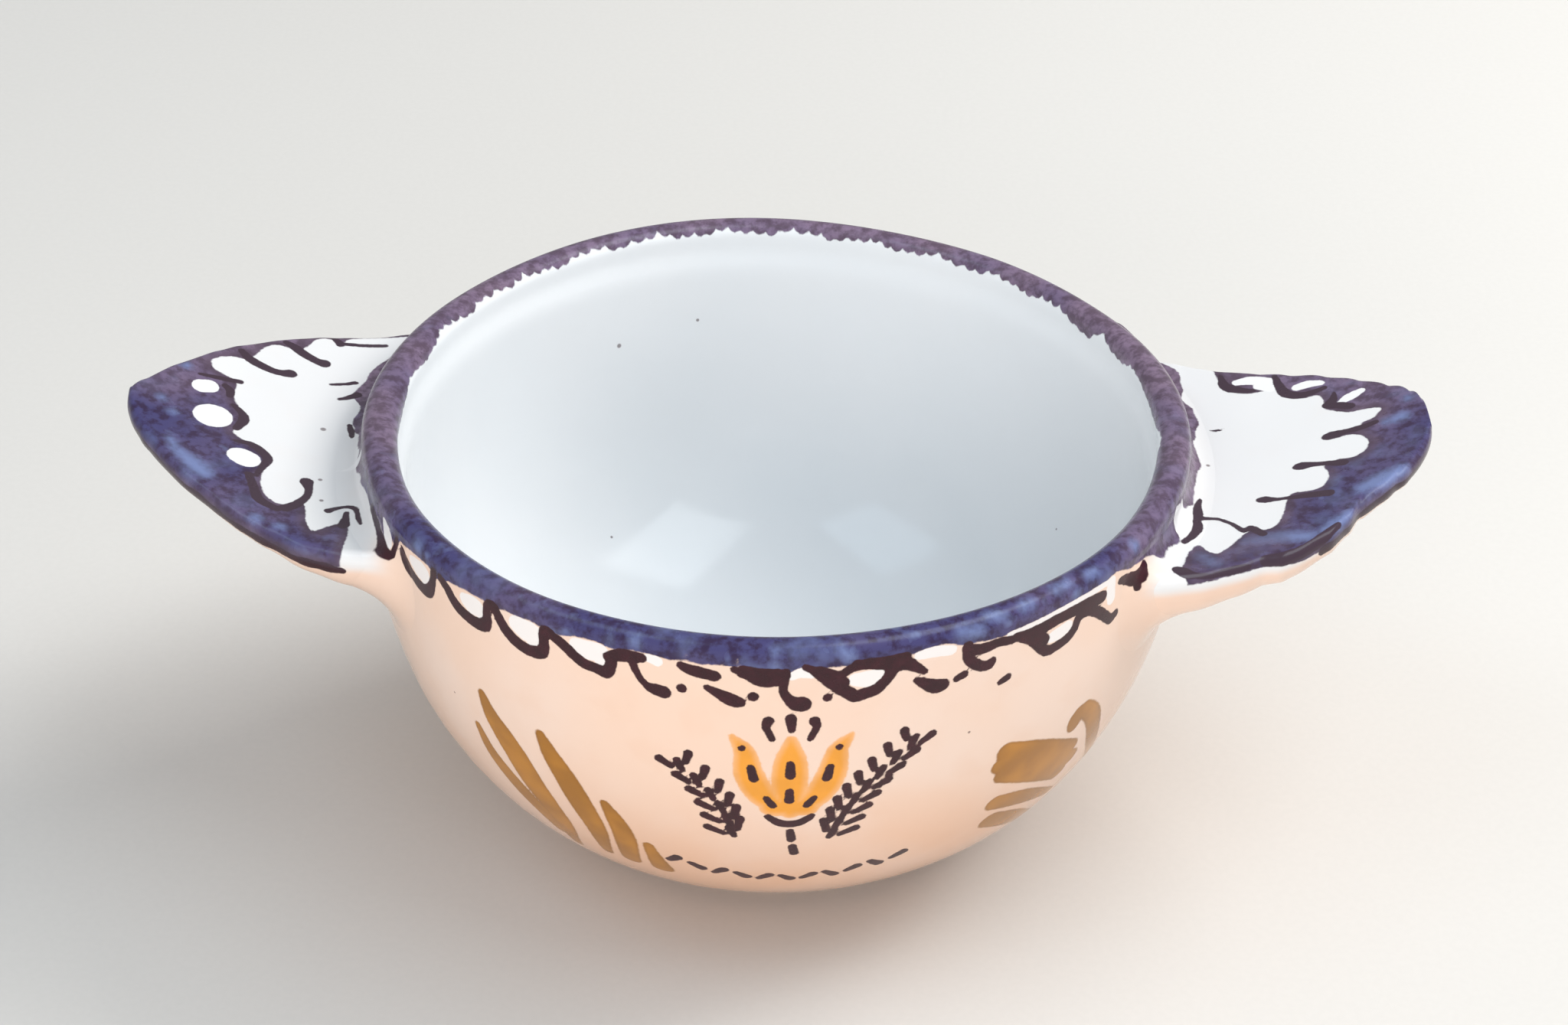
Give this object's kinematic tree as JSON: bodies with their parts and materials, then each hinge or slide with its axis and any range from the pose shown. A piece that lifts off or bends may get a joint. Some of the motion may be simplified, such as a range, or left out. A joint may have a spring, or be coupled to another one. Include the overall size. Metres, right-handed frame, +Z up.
{
  "type": "lug-handled bowl",
  "caption": "Round glazed earthenware bowl on a low foot ring, with a flat leaf-shaped lug handle on each side just under the rim.",
  "frame": {"origin": "middle of the foot ring's rest face, on the surface that the bowl stands on", "axes": "+X through the lugs, +Y away from the painted front, +Z up through the middle of the bowl"},
  "size_m": [0.1792, 0.114, 0.0622],
  "materials": {
    "wall_glaze": "glossy milky white tin glaze with hand-painted blue, dark, olive and ochre brushwork",
    "lug_glaze": "glossy milky white tin glaze with a mottled cobalt border",
    "seam_glaze": "glossy milky white tin glaze",
    "foot_clay": "glazed side and bare, matt rest face"
  },
  "bodies": {
    "root": {"bowl_wall": "wall_glaze", "foot_ring": "foot_clay", "lug_left": "lug_glaze", "lug_right": "lug_glaze", "lug_seam_left": "seam_glaze", "lug_seam_right": "seam_glaze"}
  },
  "joints": []
}
